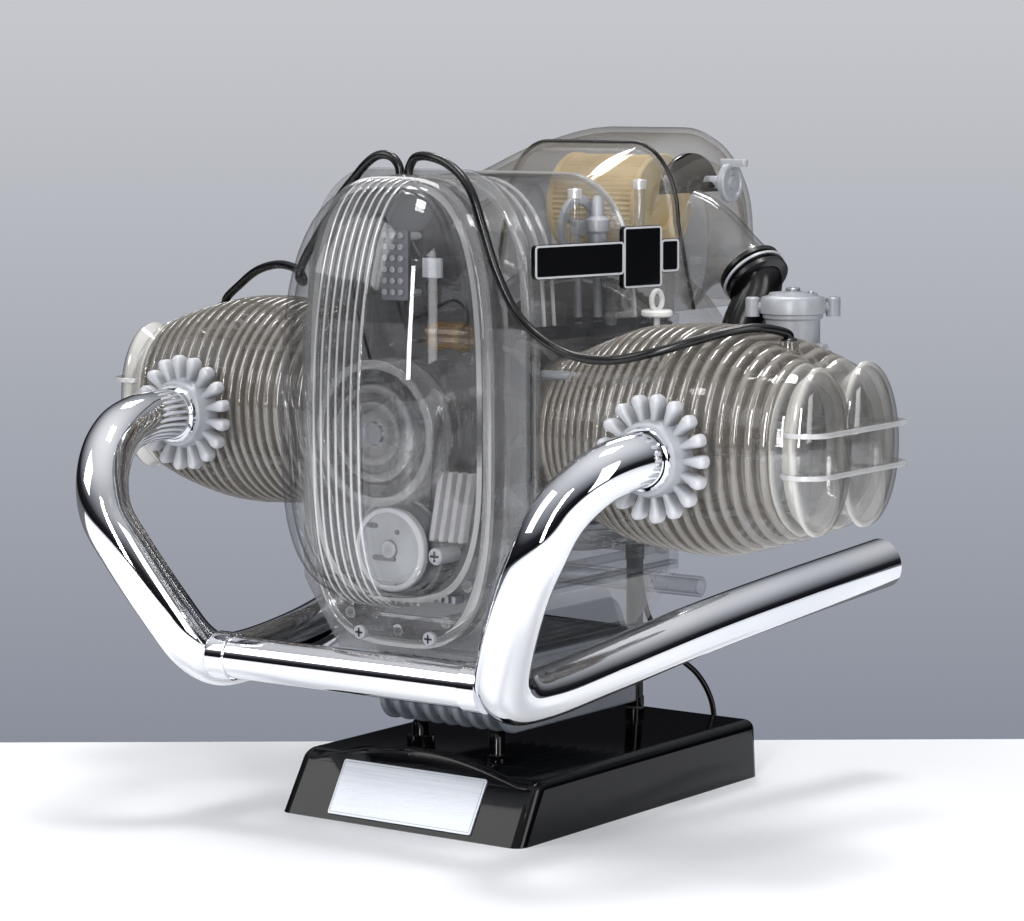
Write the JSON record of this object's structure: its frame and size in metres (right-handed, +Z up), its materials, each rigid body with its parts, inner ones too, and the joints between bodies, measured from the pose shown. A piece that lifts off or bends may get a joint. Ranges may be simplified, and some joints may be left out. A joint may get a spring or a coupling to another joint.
{
  "type": "four stroke engine model",
  "caption": "Half-size clear-cased display model of a flat twin four stroke engine on a black stand, with turning crank, sliding pistons and working valve gear.",
  "frame": {"origin": "middle of the stand's underside, on its cross rib", "axes": "+Z up, +X towards the cylinder at the viewer's right, the engine's front faces -Y"},
  "size_m": [0.3366, 0.2421, 0.2481],
  "materials": {
    "clear_plastic": "clear moulded plastic, polished",
    "smoke_plastic": "smoky clear plastic, polished",
    "chrome_plate": "bright chrome plate",
    "silver_satin": "satin silver-grey",
    "metal_grey": "satin metallic grey",
    "sump_grey": "satin mid grey",
    "black_gloss": "gloss black",
    "black_rubber": "matte black rubber",
    "filter_cream": "pleated cream paper look",
    "white_plastic": "white moulded plastic",
    "label_silver": "brushed silver plate, bare"
  },
  "bodies": {
    "engine": {"stand_shell": "black_gloss", "label_plate": "label_silver", "peg_collar": "black_gloss", "rear_post": "black_gloss", "oil_sump": "sump_grey", "crankcase": "clear_plastic", "timing_case": "clear_plastic", "front_cover": "clear_plastic", "top_cover": "clear_plastic", "airbox_front_shell": "smoke_plastic", "airbox_rear_shell": "smoke_plastic", "air_filter": "filter_cream", "bell_housing": "clear_plastic", "generator_stator": "sump_grey", "breaker_plate": "silver_satin", "cylinder_right": "smoke_plastic", "cylinder_head_right": "smoke_plastic", "valve_cover_right": "clear_plastic", "exhaust_nut_right": "silver_satin", "carburettor_right": "silver_satin", "intake_duct_right": "clear_plastic", "intake_boot_right": "black_rubber", "cylinder_left": "smoke_plastic", "cylinder_head_left": "smoke_plastic", "valve_cover_left": "clear_plastic", "exhaust_nut_left": "silver_satin", "carburettor_left": "silver_satin", "intake_duct_left": "clear_plastic", "intake_boot_left": "black_rubber", "header_pipe_right": "chrome_plate", "header_pipe_left": "chrome_plate", "cross_pipe": "chrome_plate", "badge_plate": "black_gloss", "ignition_lead_right": "black_rubber", "ignition_lead_left": "black_rubber", "power_lead": "black_rubber"},
    "crankshaft": {"crank_front": "metal_grey", "crank_centre_web": "metal_grey", "crank_rear": "metal_grey", "flywheel": "metal_grey", "generator_rotor": "metal_grey"},
    "cam": {"camshaft": "metal_grey"},
    "right_piston": {"piston_right": "silver_satin"},
    "left_piston": {"piston_left": "silver_satin"},
    "right_rod": {"con_rod_right": "metal_grey"},
    "left_rod": {"con_rod_left": "metal_grey"},
    "right_exhaust_rocker": {"exhaust_rocker_right": "metal_grey"},
    "right_intake_rocker": {"intake_rocker_right": "metal_grey"},
    "left_exhaust_rocker": {"exhaust_rocker_left": "metal_grey"},
    "left_intake_rocker": {"intake_rocker_left": "metal_grey"},
    "right_exhaust_valve": {"exhaust_valve_right": "metal_grey"},
    "right_intake_valve": {"intake_valve_right": "metal_grey"},
    "left_exhaust_valve": {"exhaust_valve_left": "metal_grey"},
    "left_intake_valve": {"intake_valve_left": "metal_grey"},
    "right_exhaust_pushrod": {"exhaust_pushrod_right": "metal_grey"},
    "right_intake_pushrod": {"intake_pushrod_right": "metal_grey"},
    "left_exhaust_pushrod": {"exhaust_pushrod_left": "metal_grey"},
    "left_intake_pushrod": {"intake_pushrod_left": "metal_grey"},
    "choke": {"choke_lever": "silver_satin"},
    "oil_dipstick": {"dipstick": "white_plastic"}
  },
  "joints": [
    {"name": "crank_spin", "type": "hinge", "parent": "engine", "child": "crankshaft", "pos_m": [0, 0, 0.144], "axis": [0, 1, 0], "continuous": true},
    {"name": "cam_spin", "type": "hinge", "parent": "engine", "child": "cam", "pos_m": [0, 0, 0.102], "axis": [0, 1, 0], "continuous": true},
    {"name": "right_piston_slide", "type": "slide", "parent": "engine", "child": "right_piston", "axis": [-1, 0, 0], "range_m": [0, 0.0353]},
    {"name": "left_piston_slide", "type": "slide", "parent": "engine", "child": "left_piston", "axis": [1, 0, 0], "range_m": [0, 0.0353]},
    {"name": "right_rod_swing", "type": "hinge", "parent": "right_piston", "child": "right_rod", "pos_m": [0.08515, -0.037, 0.144], "axis": [0, 1, 0], "range_deg": [-15.1, 15.1]},
    {"name": "left_rod_swing", "type": "hinge", "parent": "left_piston", "child": "left_rod", "pos_m": [-0.08515, -0.012, 0.144], "axis": [0, 1, 0], "range_deg": [-15.1, 15.1]},
    {"name": "right_exhaust_rock", "type": "hinge", "parent": "engine", "child": "right_exhaust_rocker", "pos_m": [0.1507, -0.0498, 0.144], "axis": [0, 0, -1], "range_deg": [0, 20]},
    {"name": "right_intake_rock", "type": "hinge", "parent": "engine", "child": "right_intake_rocker", "pos_m": [0.1507, -0.0242, 0.144], "axis": [0, 0, 1], "range_deg": [0, 20]},
    {"name": "left_exhaust_rock", "type": "hinge", "parent": "engine", "child": "left_exhaust_rocker", "pos_m": [-0.1507, -0.0248, 0.144], "axis": [0, 0, 1], "range_deg": [0, 20]},
    {"name": "left_intake_rock", "type": "hinge", "parent": "engine", "child": "left_intake_rocker", "pos_m": [-0.1507, 0.0008, 0.144], "axis": [0, 0, -1], "range_deg": [0, 20]},
    {"name": "right_exhaust_lift", "type": "slide", "parent": "engine", "child": "right_exhaust_valve", "axis": [-0.9361, 0.3518, 0], "range_m": [0, 0.00384]},
    {"name": "right_intake_lift", "type": "slide", "parent": "engine", "child": "right_intake_valve", "axis": [-0.9361, -0.3518, 0], "range_m": [0, 0.00384]},
    {"name": "left_exhaust_lift", "type": "slide", "parent": "engine", "child": "left_exhaust_valve", "axis": [0.9361, 0.3518, 0], "range_m": [0, 0.00384]},
    {"name": "left_intake_lift", "type": "slide", "parent": "engine", "child": "left_intake_valve", "axis": [0.9361, -0.3518, 0], "range_m": [0, 0.00384]},
    {"name": "right_exhaust_push", "type": "slide", "parent": "engine", "child": "right_exhaust_pushrod", "axis": [0.9867, 0, 0.1628], "range_m": [0, 0.00314]},
    {"name": "right_intake_push", "type": "slide", "parent": "engine", "child": "right_intake_pushrod", "axis": [0.9867, 0, 0.1628], "range_m": [0, 0.00314]},
    {"name": "left_exhaust_push", "type": "slide", "parent": "engine", "child": "left_exhaust_pushrod", "axis": [-0.9867, 0, 0.1628], "range_m": [0, 0.00314]},
    {"name": "left_intake_push", "type": "slide", "parent": "engine", "child": "left_intake_pushrod", "axis": [-0.9867, 0, 0.1628], "range_m": [0, 0.00314]},
    {"name": "choke_turn", "type": "hinge", "parent": "engine", "child": "choke", "pos_m": [0.047, 0.0655, 0.228], "axis": [1, 0, 0], "range_deg": [0, 60]},
    {"name": "dipstick_pull", "type": "slide", "parent": "engine", "child": "oil_dipstick", "axis": [0, 0, 1], "range_m": [0, 0.04]}
  ],
  "couplings": [
    {"joint": "cam_spin", "follows": "crank_spin", "ratio": 0.5},
    {"joint": "left_piston_slide", "follows": "right_piston_slide", "ratio": 1},
    {"joint": "left_rod_swing", "follows": "right_rod_swing", "ratio": 1},
    {"joint": "right_exhaust_rock", "follows": "right_exhaust_push", "rad_per_m": 111.11},
    {"joint": "right_exhaust_lift", "follows": "right_exhaust_push", "ratio": 1.2222},
    {"joint": "right_intake_rock", "follows": "right_intake_push", "rad_per_m": 111.11},
    {"joint": "right_intake_lift", "follows": "right_intake_push", "ratio": 1.2222},
    {"joint": "left_exhaust_rock", "follows": "left_exhaust_push", "rad_per_m": 111.11},
    {"joint": "left_exhaust_lift", "follows": "left_exhaust_push", "ratio": 1.2222},
    {"joint": "left_intake_rock", "follows": "left_intake_push", "rad_per_m": 111.11},
    {"joint": "left_intake_lift", "follows": "left_intake_push", "ratio": 1.2222}
  ]
}
